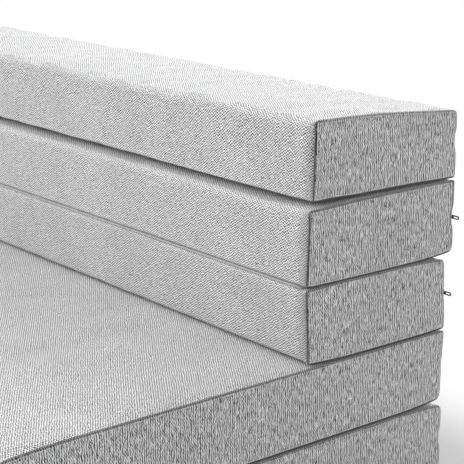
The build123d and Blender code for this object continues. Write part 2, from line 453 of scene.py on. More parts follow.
class Section:
    """A block's section as one closed loop of (y, z) points, which starts at the middle of the rear."""

    def __init__(self, block, spacing):
        self.block = block
        self.low, self.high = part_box(f"{block}_cover")
        self.middle = (self.low.z + self.high.z) / 2
        self.half = (self.high.z - self.low.z) / 2
        corners = block_corners(block)
        line, middles = rounded(corners)
        closed = line + line[: middles[0] + 1]
        stops = [*(middles[number] for number in LONG_EDGES.values()), len(closed) - 1]
        sides = [  # top, rear, bottom and front
            side_rows(closed[start : stop + 1], self.middle, None if number % 2 else spacing)
            for number, (start, stop) in enumerate(zip(stops, stops[1:]))
        ]
        loop = [point for side in sides for point in side[:-1]]
        first = len(sides[0]) - 1 + len(sides[1]) // 2
        self.loop = loop[first:] + loop[:first]
        count = len(self.loop)
        self.normals = []
        self.along = [0]
        for i, point in enumerate(self.loop):
            following = self.loop[(i + 1) % count]
            run = (following - self.loop[i - 1]).normalized()
            self.normals.append(Vector((-run.y, run.x)))
            self.along.append(self.along[-1] + (following - point).length)
        self.starts = [-first]
        for side in sides:
            self.starts.append(self.starts[-1] + len(side) - 1)
        self.sharper = [Vector((0, 0))] * count
        for start, (edge, number) in zip(self.starts, LONG_EDGES.items()):
            radius = corners[number][2]
            free_rear = edge.startswith("rear") and edge not in HINGED[block]
            sharp = FREE_END_RADIUS if free_rear else END_RADIUS
            for index in range(count):
                away = self.gap(index, start % count) / (radius * math.pi / 4)
                if away < 1:
                    push = (radius - sharp) * (math.sqrt(2) - 1) * (1 - away * away) ** 2
                    self.sharper[index] = self.normals[start % count] * push

    def gap(self, a, b):
        """How far apart two of the loop's points are along it."""
        far = abs(self.along[a] - self.along[b])
        return min(far, self.along[-1] - far)

    def at_end(self, x, run):
        """How near x is to a sewn end: 0 at run from it, and 1 at the end."""
        return smooth(1 - (self.high.x - abs(x)) / run)

    def tuck(self, index):
        """How deep the sewn ends' seam sits there, as a share: the top block's upper seam lies almost flat."""
        if self.block != SLOPED:
            return 1
        upper = smooth(2 * self.normals[index].y - 0.6)
        behind = smooth((self.loop[index].x - self.low.y - FLAT_FROM) / FLAT_RUN)
        return 1 - (1 - FLAT_TUCK) * upper * behind

    def place(self, index, x, inset):
        """The point of the cover at x on the loop's line of that index, drawn in by inset."""
        crisp = self.at_end(x, CRISP_RUN)
        share = crisp if self.block == SLOPED else self.at_end(x, END_RUN)
        inset *= 1 - PRESSED * abs(self.normals[index].y) ** 3
        point = self.loop[index] + self.sharper[index] * crisp - self.normals[index] * inset
        if self.gap(index, 0) < GROOVE_MOUTH / 2:
            shallow = self.at_end(x, SLOT_MARGIN) * GROOVE_FADE
            point.x += max(self.high.y - inset - point.x, 0) * shallow
        upper = point.y > self.middle
        behind = point.x - self.low.y
        fall = END_FALLS[self.block][0 if upper else 1] * share
        for edge in HINGED[self.block]:
            if edge.endswith("top") == upper:
                y = self.low.y if edge.startswith("front") else self.high.y
                fall *= 1 - HINGE_HOLD * (1 - smooth(abs(point.x - y) / HINGE_HOLD_RUN))
        if self.block == SLOPED and not upper:
            fall *= LOW_FRONT_SHARE + (1 - LOW_FRONT_SHARE) * smooth(behind / LOW_FRONT_RUN)
        if self.block == SAGGING and upper:
            fall -= CORNER_LIFT * (1 - smooth(behind / CROWN_RUN)) * self.at_end(x, CORNER_RUN)
        return Vector((x, point.x, self.middle + (point.y - self.middle) * (1 - fall / self.half)))


# Covers


def end_stations(half_length, spacing):
    """(x, inset) of each ring of the cover, from the left end to the right."""
    reach = RIM_STEPS[-1][1]
    count = round(2 * (half_length - reach) / spacing)
    plain = [-half_length + reach + 2 * (half_length - reach) * k / count for k in range(1, count)]
    left = [(-half_length + back, inset) for inset, back in RIM_STEPS]
    right = [(half_length - back, inset) for inset, back in reversed(RIM_STEPS)]
    return left + [(x, 0) for x in plain] + right


def seam_wobble(block, x, index):
    """How far the sewn end's seam strays from its line."""
    seed = BLOCKS.index(block) * 7.3 + (3.1 if x > 0 else 0)
    return SEAM_STRAY * noise.noise(Vector((index * 0.21, seed, 0.5)))


def make_wrap(section, spacing):
    """The cloth round a block, open at its ends and along the zipper's slot."""
    half = section.high.x
    stations = end_stations(half, spacing)
    count = len(section.loop)
    points = []
    painted_shades = []
    for row, (x, inset) in enumerate(stations):
        outer = min(row, len(stations) - 1 - row)
        # Painted shade beside the end seam: darkest at the seam, less on upper and rear sides, and less where the
        # seam lies flat
        painted_shade = SEAM_PAINTED_SHADES[outer] if outer < len(SEAM_PAINTED_SHADES) else 0
        for index in range(count):
            stray = seam_wobble(section.block, x, index) * smooth(inset / SEAM_STRAY_RUN)
            point = section.place(index, x, inset + stray)
            tuck = section.tuck(index)
            if outer < 2:
                point.x = math.copysign(half - (half - abs(x)) * tuck, x)
            points.append(point)
            up = smooth(2 * section.normals[index].y - 1)
            behind = smooth(2 * section.normals[index].x - 0.6)
            shade_cut = max((UPPER_SHADE_CUT if outer > 2 else UPPER_RIM_SHADE_CUT) * up, REAR_SHADE_CUT * behind)
            painted_shades.append(painted_shade * (1 - shade_cut) * (tuck - PAINTED_SHADE_TUCK_FROM) / (1 - PAINTED_SHADE_TUCK_FROM))
    across = travelled(math.dist(a, b) for a, b in zip(stations, stations[1:]))
    faces = []
    uvs = []
    for i in range(len(stations) - 1):
        slotted = max(abs(stations[i][0]), abs(stations[i + 1][0])) < half - SLOT_MARGIN + 1e-6
        for j in range(count):
            if slotted and j in (0, count - 1):
                continue
            faces.append([row * count + column % count for row, column in cell(i, j)])
            uvs += [(section.along[column], across[row]) for row, column in cell(i, j)]
    piece = mesh_piece(f"{section.block}_wrap", points, faces, uvs)
    mark(piece, "seam", painted_shades)
    piece["rings"] = len(stations)
    piece["lines"] = count
    return piece


def make_end(section, side):
    """The panel sewn into one end, as a grid between the section's four sides, tucked down into its seam."""
    half = section.high.x
    count = len(section.loop)
    top, rear, bottom, front = (
        [section.place(i % count, side * half, PANEL_INSET) for i in range(start, stop + 1)]
        for start, stop in zip(section.starts, section.starts[1:])
    )
    rear.reverse()
    bottom.reverse()

    def shares(a, b):
        """Where the grid's lines meet two facing sides, as mean shares of their lengths."""
        found = []
        for line in (a, b):
            lengths = travelled((q - p).length for p, q in zip(line, line[1:]))
            found.append([length / lengths[-1] for length in lengths])
        return [(u + v) / 2 for u, v in zip(*found)]

    across = shares(top, bottom)
    upward = shares(front, rear)
    width, height = len(across), len(upward)
    points = []
    painted_shades = []
    for k, t in enumerate(upward):
        for i, s in enumerate(across):
            point = bottom[i] * (1 - t) + top[i] * t + front[k] * (1 - s) + rear[k] * s
            point -= (bottom[0] * (1 - s) + bottom[-1] * s) * (1 - t) + (top[0] * (1 - s) + top[-1] * s) * t
            edge = min(i, width - 1 - i, k, height - 1 - k)
            tuck = section.tuck((section.starts[0] + i) % count) if k == height - 1 else 1
            point.x = side * (half - (PANEL_DITCH * tuck if edge == 0 else 0))
            points.append(point)
            # Painted shade along the panel's border beside its seam, less at its rear and its foot
            painted_shade = PANEL_PAINTED_SHADES[edge] if edge < len(PANEL_PAINTED_SHADES) else 0
            share = PANEL_REAR_SHADE_SHARE if edge == width - 1 - i else PANEL_FOOT_SHADE_SHARE if edge == k else 1
            painted_shades.append(painted_shade * share * (tuck if edge < 2 else 1))
    faces = []
    uvs = []
    for k in range(height - 1):
        for i in range(width - 1):
            ring = [k * width + i, k * width + i + 1, (k + 1) * width + i + 1, (k + 1) * width + i]
            if side < 0:
                ring.reverse()
            faces.append(ring)
            uvs += [(points[n].y, points[n].z) for n in ring]
    piece = mesh_piece(f"{section.block}_{'right' if side > 0 else 'left'}_end", points, faces, uvs)
    mark(piece, "seam", painted_shades)
    piece["rings"] = height
    piece["lines"] = width
    return piece


def mark_edges(section, piece):
    """Wear along a cover's four long edges and its sewn ends."""
    count = piece["lines"]
    values = []
    for index in range(piece["rings"] * count):
        x = piece.data.vertices[index].co.x
        away = min(section.gap(index % count, start % count) for start in section.starts[:4])
        values.append(max(1 - smooth(away / EDGE_WEAR), section.at_end(x, END_WEAR)))
    mark(piece, "edge", values)


# The cloth's swell


def hold(piece, weights):
    """The points that the seams hold, by how firmly."""
    group = piece.vertex_groups.new(name="held")
    for index, weight in enumerate(weights):
        group.add([index], weight, "REPLACE")


def simulate(pieces):
    """Let the covers swell under pressure, held at their seams, all at once; gives each point's travel."""
    scene = bpy.context.scene
    before = {piece.name: [v.co.copy() for v in piece.data.vertices] for piece in pieces}
    for piece in pieces:
        cloth = piece.modifiers.new("cloth", "CLOTH")
        for name, value in CLOTH_SETTINGS.items():
            setattr(cloth.settings, name, value)
        cloth.settings.effector_weights.gravity = 0
        cloth.collision_settings.use_collision = False
        cloth.point_cache.frame_end = CLOTH_FRAMES
    for number in range(1, CLOTH_FRAMES + 1):
        scene.frame_set(number)
    graph = bpy.context.evaluated_depsgraph_get()
    travels = {}
    for piece in pieces:
        shaped = piece.evaluated_get(graph).data
        travels[piece.name] = [v.co - start for v, start in zip(shaped.vertices, before[piece.name])]
    for piece in pieces:
        piece.modifiers.clear()
    scene.frame_set(1)
    return travels


def swell_limits(block, point, normal, back_front):
    """How far the cloth may move inwards and outwards at a point of the cover."""
    level = abs(normal.y) > abs(normal.x)
    if level:
        free = normal.y > 0 and (block == SLOPED or (block == "seat" and point.y < back_front - 0.01))
    else:
        side = "front" if normal.x < 0 else "rear"
        free = not any(edge.startswith(side) for edge in HINGED[block])
    if free:
        return FREE_SWELL
    return STACKED_SWELL if level else FOLD_SWELL


def settle_wrap(section, wrap, travels, back_front):
    """Move the cover's points as the cloth did, within their limits."""
    count = wrap["lines"]
    for index, (vertex, travel) in enumerate(zip(wrap.data.vertices, travels)):
        flat = section.normals[index % count]
        normal = Vector((0, flat.x, flat.y))
        inward, outward = swell_limits(section.block, vertex.co, flat, back_front)
        if min(index % count, -index % count) <= GROOVE_LINES:
            inward, outward = GROOVE_SWELL
        swell = travel.dot(normal)
        slide = travel - normal * swell
        slide *= min(1, SLIDE / max(slide.length, 1e-9))
        vertex.co += normal * min(max(swell, -inward), outward) + slide
        vertex.co.x = min(max(vertex.co.x, -section.high.x), section.high.x)


def settle_end(end, travels):
    """Move the end panel's points as the cloth did, within a small swell."""
    inward, outward = PANEL_SWELL
    for vertex, travel in zip(end.data.vertices, travels):
        side = 1 if vertex.co.x > 0 else -1
        vertex.co.x += side * min(max(travel.x * side, -inward), outward)


def crest(section, piece):
    """The top block's front edge rides up and down a little along its length."""
    for vertex in piece.data.vertices:
        lift = 0
        for (x0, z0), (x1, z1) in zip(CREST_LIFTS, CREST_LIFTS[1:]):
            if x0 <= vertex.co.x <= x1:
                lift = z0 + (z1 - z0) * smooth((vertex.co.x - x0) / (x1 - x0))
        near = 1 - smooth((vertex.co.y - section.low.y) / CREST_RUN)
        high = smooth((vertex.co.z - section.middle) / (section.half * 0.8))
        vertex.co.z += lift * near * high


# Foam, hinges and zipper tapes


def make_core(section, wrap):
    """The foam inside a cover: it fills the cover, with a channel for the zipper's tape and slider."""
    count = len(section.loop)
    vertices = wrap.data.vertices
    rings = [
        ring for ring in range(wrap["rings"])
        if section.high.x - abs(vertices[ring * count].co.x) > CORE_FIRST_RING
    ]
    reach = section.high.x - CORE_END
    stations = [(rings[0], -reach), *((ring, None) for ring in rings), (rings[-1], reach)]
    points = []
    for ring, x in stations:
        gap = CORE_GAP + (0 if x is None else CORE_ROUNDING)
        for index in range(count):
            inward = section.normals[index]
            source = vertices[ring * count + index].co
            channel = CORE_CHANNEL if min(index, count - index) <= GROOVE_LINES else 0
            y = source.y - inward.x * gap - channel
            points.append((source.x if x is None else x, y, source.z - inward.y * gap))
    total = len(stations)
    faces = [
        [row * count + column % count for row, column in cell(i, j)]
        for i in range(total - 1) for j in range(count)
    ]
    faces.append(range(count))
    faces.append(range(total * count - 1, (total - 1) * count - 1, -1))
    return mesh_piece(f"{section.block}_core", points, faces)


def hinge_side(lower):
    """The side of a block at which a hinge joins it to the block above."""
    return "front" if "front_top" in HINGED[lower] else "rear"


def make_hinge(lower, upper):
    """One fabric hinge: a strip folded between two blocks.

    Gives the strip, its centre line as (y, z) points from the lower flap to the upper one, and its reach along X.
    """
    side = hinge_side(lower)
    low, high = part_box(f"{lower}_{side}_flap")
    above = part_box(f"{upper}_{side}_flap")
    way = 1 if side == "front" else -1
    outer = low.y if side == "front" else high.y
    bottom = (low.z + high.z) / 2 - 0.0001
    top = (above[0].z + above[1].z) / 2 + 0.0001
    radius = (top - bottom) / 2
    line = [(outer + way * back, bottom) for back in FLAP_STEPS]
    for step in range(1, FOLD_STEPS):
        angle = math.pi * step / FOLD_STEPS
        y = outer + way * (FOLD_INSET - radius * math.sin(angle))
        line.append((y, bottom + radius * (1 - math.cos(angle))))
    line += [(outer + way * back, top) for back in reversed(FLAP_STEPS)]
    width = len(line)
    along = travelled(math.dist(a, b) for a, b in zip(line, line[1:]))
    reach = high.x
    rows = [-reach + 2 * reach * k / STRIP_ROWS for k in range(STRIP_ROWS + 1)]
    points = []
    for x in rows:
        for number, (y, z) in enumerate(line):
            edge = number in (0, width - 1)
            stray = 0.0006 * noise.noise(Vector((x * 14, number * 0.1, 2.0))) if edge else 0
            points.append((x, y + stray, z))
    faces = []
    uvs = []
    for i in range(STRIP_ROWS):
        for j in range(width - 1):
            faces.append([row * width + column for row, column in cell(i, j)])
            uvs += [(along[column], rows[row]) for row, column in cell(i, j)]
    strip = mesh_piece(f"{lower}_{upper}_hinge", points, faces, uvs)
    thicken(strip, 0.9 * HINGE_CLOTH)
    return settled(strip), line, reach


def make_tapes(section):
    """The zipper's two tapes: woven strips that thicken to a cord where the teeth are sewn on."""
    low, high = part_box(f"{section.block}_zipper_tape")
    depth = (low.y + high.y) / 2
    width = len(TAPE_PROFILE)
    points = []
    faces = []
    for side in (1, -1):
        for row in range(STRIP_ROWS + 1):
            x = low.x + (high.x - low.x) * row / STRIP_ROWS
            for rise, thick in TAPE_PROFILE:
                stray = 0.0003 * noise.noise(Vector((x * 9, side, section.middle))) * smooth(rise / 0.01)
                points.append((x, depth + thick + stray, section.middle + side * rise))
    for side in range(2):
        for i in range(STRIP_ROWS):
            for j in range(width - 1):
                a = (side * (STRIP_ROWS + 1) + i) * width + j
                ring = [a, a + 1, a + width + 1, a + width]
                faces.append(ring if side else ring[::-1])
    tapes = mesh_piece(f"{section.block}_tapes", points, faces)
    thicken(tapes, TAPE_CLOTH)
    return settled(tapes)


# Where the stitches run


def slot_seams(section, wrap):
    """The two stitched lines beside the zipper's slot."""
    count = wrap["lines"]
    lift = Vector((0, SLOT_SEAM_LIFT, 0))
    lines = []
    for index in (2, count - 2):
        line = [wrap.data.vertices[ring * count + index].co for ring in range(wrap["rings"])]
        lines.append([point + lift for point in line if abs(point.x) < section.high.x - SLOT_SEAM_END])
    return lines


def end_seam(end):
    """The stitched line just inside an end panel's border, as a closed ring."""
    lines, rings = end["lines"], end["rings"]
    ring = [(1, k) for k in range(1, lines - 1)]
    ring += [(k, lines - 2) for k in range(2, rings - 1)]
    ring += [(rings - 2, k) for k in range(lines - 3, 0, -1)]
    ring += [(k, 1) for k in range(rings - 3, 0, -1)]
    side = 1 if end.data.vertices[0].co.x > 0 else -1
    points = []
    for row, column in ring:
        inner = min(max(row, 2), rings - 3) * lines + min(max(column, 2), lines - 3)
        middle = (end.data.vertices[row * lines + column].co + end.data.vertices[inner].co) / 2
        points.append(middle + Vector((side * END_SEAM_LIFT, 0, 0)))
    return [*points, points[0]]


def flap_seam(line, reach, last):
    """The stitched line along a hinge strip's sewn edge, on its first or its last flap."""
    y0, z = line[-1] if last else line[0]
    way = 1 if line[len(line) // 2][0] > y0 else -1
    inner = -1 if last else 1
    y = y0 + way * FLAP_SEAM_INSET
    end = reach - FLAP_SEAM_END
    return [
        (-end + 2 * end * k / FLAP_SEAM_STEPS, y, z + inner * FLAP_SEAM_LIFT) for k in range(FLAP_SEAM_STEPS + 1)
    ]


# Nodes


VECTORS = "ShaderNodeVectorMath"


def feed(tree, node, inputs):
    """Join a node's inputs to sockets, or set them to values."""
    for key, value in inputs.items():
        if isinstance(value, bpy.types.NodeSocket):
            tree.links.new(value, node.inputs[key])
        else:
            node.inputs[key].default_value = value


def wire(tree, kind, inputs=None, **settings):
    """The outputs of a new node with its settings and its inputs."""
    made = tree.nodes.new(kind)
    for name, value in settings.items():
        setattr(made, name, value)
    feed(tree, made, inputs or {})
    return made.outputs


def calc(tree, operation, *values, kind="ShaderNodeMath"):
    """The result of a Math node, or of a Vector Math node."""
    return wire(tree, kind, dict(enumerate(values)), operation=operation)[0]


def axes_of(tree, place):
    """The three coordinates of a place."""
    return wire(tree, "ShaderNodeSeparateXYZ", {0: place})


def at_axes(tree, *axes):
    """The place with those coordinates."""
    return wire(tree, "ShaderNodeCombineXYZ", dict(enumerate(axes)))[0]


def ranged(tree, value, low, high, least=0.0, most=1.0, soft=False):
    """A value between low and high, brought to between least and most."""
    kind = "SMOOTHSTEP" if soft else "LINEAR"
    inputs = {0: value, 1: low, 2: high, 3: least, 4: most}
    return wire(tree, "ShaderNodeMapRange", inputs, interpolation_type=kind)[0]


def clouds(tree, place, scale, detail):
    """Soft noise: its value, then its colour."""
    return wire(tree, "ShaderNodeTexNoise", {"Vector": place, "Scale": scale, "Detail": detail})


def tint(tree, blend, share, base, top):
    """Two colours mixed."""
    return wire(tree, "ShaderNodeMix", {0: share, 6: base, 7: top}, data_type="RGBA", blend_type=blend)[2]


def shaded(tree, colour, shade):
    """A colour times a plain value."""
    shades = wire(tree, "ShaderNodeCombineColor", {0: shade, 1: shade, 2: shade})[0]
    return tint(tree, "MULTIPLY", 1.0, colour, shades)


def add_sockets(tree, way, sockets):
    """A group's sockets: each name has its kind, or the value that it starts at."""
    for label, start in sockets.items():
        if isinstance(start, str):
            kind = start
        else:
            kind = "Float" if isinstance(start, float) else {3: "Vector", 4: "Color"}[len(start)]
        socket = tree.interface.new_socket(label, in_out=way, socket_type=f"NodeSocket{kind}")
        if kind != start:
            socket.default_value = start


def new_group(name, inputs, outputs, kind="ShaderNodeTree"):
    """A node group with its sockets; gives the tree, its input sockets and its output node."""
    tree = bpy.data.node_groups.new(name, kind)
    add_sockets(tree, "INPUT", inputs)
    add_sockets(tree, "OUTPUT", outputs)
    return tree, tree.nodes.new("NodeGroupInput").outputs, tree.nodes.new("NodeGroupOutput")


# What repeats along a line: stitches and zipper teeth


def bead_tree():
    """Beads of one size, evenly spaced along the lines of a mesh, each turned along its line."""
    tree, given, out = new_group("beads along lines", {
        "Lines": "Geometry", "Spacing": 0.004, "Size": (0.003, 0.0005, 0.0005), "Unevenness": 0.1,
        "Finish": "Material",
    }, {"Beads": "Geometry"}, "GeometryNodeTree")
    curve = wire(tree, "GeometryNodeMeshToCurve", {"Mesh": given["Lines"]})
    spacing = {"Curve": curve[0], "Length": given["Spacing"]}
    spaced = wire(tree, "GeometryNodeResampleCurve", spacing, mode="LENGTH")
    run = wire(tree, "GeometryNodeInputTangent")
    turned = wire(tree, "FunctionNodeAlignRotationToVector", {"Vector": run[0]}, axis="X")
    bead = wire(tree, "GeometryNodeMeshIcoSphere", {"Radius": 0.5, "Subdivisions": 1})
    least = calc(tree, "SUBTRACT", 1.0, given["Unevenness"])
    chance = wire(tree, "FunctionNodeRandomValue", {2: least, 3: 1.0, "Seed": 5}, data_type="FLOAT")
    size = wire(tree, VECTORS, {0: given["Size"], "Scale": chance[1]}, operation="SCALE")
    row = wire(tree, "GeometryNodeInstanceOnPoints", {
        "Points": spaced[0], "Instance": bead[0], "Rotation": turned[0], "Scale": size[0],
    })
    real = wire(tree, "GeometryNodeRealizeInstances", {"Geometry": row[0]})
    soft = wire(tree, "GeometryNodeSetShadeSmooth", {"Geometry": real[0]})
    coated = wire(tree, "GeometryNodeSetMaterial", {"Geometry": soft[0], "Material": given["Finish"]})
    feed(tree, out, {"Beads": coated[0]})
    return tree


def beads(name, lines, spacing, size, unevenness, material):
    """One mesh of beads along lines of points: rows of stitches or of teeth."""
    points = []
    edges = []
    for line in lines:
        start = len(points)
        points += [tuple(point) for point in line]
        edges += [(start + k, start + k + 1) for k in range(len(line) - 1)]
    mesh = bpy.data.meshes.new(name)
    mesh.from_pydata(points, edges, [])
    piece = new_object(name, mesh)
    modifier = piece.modifiers.new("beads", "NODES")
    modifier.node_group = GROUPS["beads"]
    values = {"Spacing": spacing, "Size": size, "Unevenness": unevenness, "Finish": material}
    for item in GROUPS["beads"].interface.items_tree:
        if item.in_out == "INPUT" and item.name in values:
            modifier[item.identifier] = values[item.name]
    return settled(piece)


# Materials


def woven_group():
    """Basket weave of paired melange yarns, with ribs and slubs along Y; the place on the cloth is in metres."""
    tree, given, out = new_group("melange weave", {
        "Place": "Vector", "Yarn": 0.002, "Float Length": 1.0,
        "Pale": (0.8, 0.8, 0.8, 1), "Dark": (0.2, 0.2, 0.2, 1),
        "Check": 0.5, "Rib": 0.3, "Yarn Tones": 0.5,
        "Slub Width": 0.003, "Slub Length": 0.03, "Slubs": 0.3,
    }, {"Color": "Color", "Height": "Float"})
    drift = clouds(tree, given["Place"], 130.0, 2.0)[1]
    drift = calc(tree, "SUBTRACT", drift, (0.5, 0.5, 0.5), kind=VECTORS)
    loose = calc(tree, "MULTIPLY_ADD", drift, (0.0042, 0.0042, 0), given["Place"], kind=VECTORS)
    axes = axes_of(tree, loose)
    counts = [
        calc(tree, "DIVIDE", axes[0], given["Yarn"]),
        calc(tree, "DIVIDE", axes[1], calc(tree, "MULTIPLY", given["Yarn"], given["Float Length"])),
    ]
    whole = [calc(tree, "FLOOR", count) for count in counts]
    over = calc(tree, "FLOORED_MODULO", calc(tree, "ADD", *whole), 2)
    waves = [calc(tree, "SINE", calc(tree, "MULTIPLY", count, math.pi)) for count in counts]
    check = calc(tree, "MULTIPLY", *waves)
    pairs = [
        calc(tree, "ABSOLUTE", calc(tree, "SINE", calc(tree, "MULTIPLY", count, 2 * math.pi))) for count in counts
    ]
    yarns = wire(tree, "ShaderNodeMix", {0: over, 2: pairs[0], 3: pairs[1]}, data_type="FLOAT")[0]
    height = calc(tree, "MULTIPLY", calc(tree, "ADD", yarns, calc(tree, "ABSOLUTE", check)), 0.5)
    yarn_tone = wire(tree, "ShaderNodeTexWhiteNoise", {0: at_axes(tree, *whole)}, noise_dimensions="2D")[0]
    slub_place = at_axes(
        tree,
        calc(tree, "DIVIDE", axes[0], given["Slub Width"]),
        calc(tree, "DIVIDE", axes[1], given["Slub Length"]),
    )
    slub = calc(tree, "SUBTRACT", clouds(tree, slub_place, 1.0, 1.0)[0], 0.5)
    patchy = calc(tree, "MULTIPLY_ADD", clouds(tree, slub_place, 0.23, 0.0)[0], 2.4, -0.7)
    rib = calc(tree, "MULTIPLY", waves[0], patchy)
    tone = 0.5
    for share, value in (
        (given["Check"], check),
        (given["Rib"], rib),
        (given["Slubs"], slub),
        (given["Yarn Tones"], calc(tree, "SUBTRACT", yarn_tone, 0.5)),
    ):
        tone = calc(tree, "MULTIPLY_ADD", value, share, tone)
    colour = tint(tree, "MIX", ranged(tree, tone, 0.0, 1.0, soft=True), given["Dark"], given["Pale"])
    # Painted shade: the colour darkens between the yarns
    feed(tree, out, {
        "Color": shaded(tree, colour, calc(tree, "MULTIPLY_ADD", yarns, 0.16, 0.88)),
        "Height": calc(tree, "ADD", height, slub),
    })
    return tree


def wear_and_seam_shade_group():
    """Uneven dye in broad soft patches, fibres raised pale along worn edges, and painted shade in the seams."""
    tree, given, out = new_group("dye, wear and painted seam shade", {
        "Color": (0.5, 0.5, 0.5, 1), "Place": "Vector", "Edge": 0.0, "Seam": 0.0,
    }, {"Color": "Color", "Roughness": "Float"})
    broad = clouds(tree, given["Place"], 9.0, 3.0)[0]
    colour = shaded(tree, given["Color"], ranged(tree, broad, 0.3, 0.7, 0.94, 1.05))
    fuzz = clouds(tree, given["Place"], 260.0, 2.0)[0]
    worn = calc(tree, "MULTIPLY", calc(tree, "MULTIPLY", fuzz, given["Edge"]), 0.3)
    colour = tint(tree, "MIX", worn, colour, (0.85, 0.85, 0.85, 1))
    # Painted shade: the seam mask darkens the colour almost to black in and beside the seams
    seam_shade = calc(tree, "MULTIPLY", given["Seam"], 0.9)
    feed(tree, out, {
        "Color": tint(tree, "MIX", seam_shade, colour, (0.015, 0.015, 0.015, 1)),
        "Roughness": ranged(tree, broad, 0.3, 0.7, 0.82, 0.95),
    })
    return tree


def grain_group():
    """Two tones in fine grains of one size, which may be drawn out along X."""
    tree, given, out = new_group("fine grain", {
        "Place": "Vector", "Size": 0.001, "Drawn Out": 1.0,
        "Pale": (0.8, 0.8, 0.8, 1), "Dark": (0.2, 0.2, 0.2, 1),
    }, {"Color": "Color", "Height": "Float", "Roughness": "Float"})
    x, y, z = axes_of(tree, given["Place"])
    drawn = at_axes(tree, calc(tree, "DIVIDE", x, given["Drawn Out"]), y, z)
    grain = clouds(tree, drawn, calc(tree, "DIVIDE", 1.0, given["Size"]), 2.0)[0]
    share = ranged(tree, grain, 0.35, 0.65, soft=True)
    feed(tree, out, {
        "Color": tint(tree, "MIX", share, given["Dark"], given["Pale"]),
        "Height": grain,
        "Roughness": ranged(tree, grain, 0.3, 0.7, -0.08, 0.08),
    })
    return tree


GROUPS = {"beads": bead_tree(), "weave": woven_group(), "wear": wear_and_seam_shade_group(), "grain": grain_group()}
CLOTH_SHEEN = {"Sheen Weight": 0.45, "Sheen Roughness": 0.35, "Specular IOR Level": 0.3}


def grey(value):
    return (value, value, value * 1.01, 1)


def new_material(name):
    """A material with nodes, and its tree and shader."""
    material = bpy.data.materials.new(name)
    material.use_nodes = True
    return material, material.node_tree, material.node_tree.nodes["Principled BSDF"]


def placed(tree, name, inputs):
    """The outputs of a shader group placed in a material's tree."""
    return wire(tree, "ShaderNodeGroup", inputs, node_tree=GROUPS[name])


def bumped(tree, height, depth):
    """A relief of that depth, as a normal."""
    return wire(tree, "ShaderNodeBump", {"Height": height, "Distance": depth, "Strength": 1.0})[0]


def cloth_material(name, pale, dark, yarn, float_length, tones, slubs, depth=0.00035):
    """Melange cloth on the piece's own map of the cloth; tones are check, rib and yarns."""
    material, tree, shader = new_material(name)
    place = wire(tree, "ShaderNodeUVMap", uv_map="cloth")[0]
    woven = placed(tree, "weave", {
        "Place": place, "Yarn": yarn, "Float Length": float_length, "Pale": grey(pale), "Dark": grey(dark),
        "Check": tones[0], "Rib": tones[1], "Yarn Tones": tones[2],
        "Slub Width": slubs[0], "Slub Length": slubs[1], "Slubs": slubs[2],
    })
    # The seam mask carries painted shade beside the end seams, which the wear group paints; the edge mask is wear
    edge, seam = (
        wire(tree, "ShaderNodeAttribute", attribute_name=mask)["Fac"] for mask in ("edge", "seam")
    )
    worn = placed(tree, "wear", {"Color": woven["Color"], "Place": place, "Edge": edge, "Seam": seam})
    feed(tree, shader, {
        "Base Color": worn["Color"], "Roughness": worn["Roughness"],
        "Normal": bumped(tree, woven["Height"], depth), **CLOTH_SHEEN,
    })
    return material


def grained_material(name, pale, dark, size, drawn_out, roughness, depth, constants, further=None):
    """A small part's material on its own coordinates; further adds to its colour and relief."""
    material, tree, shader = new_material(name)
    place = wire(tree, "ShaderNodeTexCoord")["Object"]
    grain = placed(tree, "grain", {
        "Place": place, "Size": size, "Drawn Out": drawn_out, "Pale": pale, "Dark": dark,
    })
    colour, height = grain["Color"], grain["Height"]
    if further:
        colour, height = further(tree, place, colour, height)
    feed(tree, shader, {
        "Base Color": colour, "Roughness": calc(tree, "ADD", grain["Roughness"], roughness),
        "Normal": bumped(tree, height, depth), **constants,
    })
    return material


def foam_pores(tree, place, colour, height):
    """Small dark pores."""
    pore = wire(tree, "ShaderNodeTexVoronoi", {"Vector": place, "Scale": 620.0})["Distance"]
    open_share = ranged(tree, pore, 0.1, 0.45)
    return shaded(tree, colour, ranged(tree, open_share, 0.0, 1.0, 0.45, 1.0)), open_share


def herringbone(tree, place, colour, height):
    """Fine ribs that turn to and fro across the tape."""
    axes = axes_of(tree, place)
    zigzag = calc(tree, "PINGPONG", axes[2], 0.0018)
    rib = calc(tree, "SINE", calc(tree, "MULTIPLY", calc(tree, "ADD", axes[0], zigzag), 2 * math.pi / 0.0011))
    height = calc(tree, "MULTIPLY_ADD", rib, 0.5, calc(tree, "MULTIPLY", height, 0.4))
    return shaded(tree, colour, calc(tree, "MULTIPLY_ADD", rib, 0.16, 0.86)), height


# Camera, light and floor


def add_camera():
    """The camera where the photograph was taken."""
    low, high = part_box("lower_back_cover")
    data = bpy.data.cameras.new("photo_camera")
    data.sensor_width = SENSOR_MILLIMETRES
    data.lens = FOCAL_PIXELS / PHOTO_SIDE * data.sensor_width
    camera = new_object("photo_camera", data)
    camera.location = Vector((high.x, low.y, 0)) + CAMERA_FROM_BACK
    camera.rotation_euler = (math.pi / 2 - CAMERA_PITCH, 0, CAMERA_YAW)
    bpy.context.scene.camera = camera


def add_area_light(name, place, target, size, power):
    """A square soft light at place that faces target."""
    data = bpy.data.lights.new(name, "AREA")
    data.size = size
    data.energy = power
    light = new_object(name, data)
    light.location = place
    light.rotation_euler = (Vector(target) - Vector(place)).to_track_quat("-Z", "Y").to_euler()


def plainly_seen(tree):
    """1 for what the camera sees, itself or in a gloss, and 0 for what only lights other things."""
    path = wire(tree, "ShaderNodeLightPath")
    return calc(tree, "MAXIMUM", path["Is Camera Ray"], path["Is Glossy Ray"])


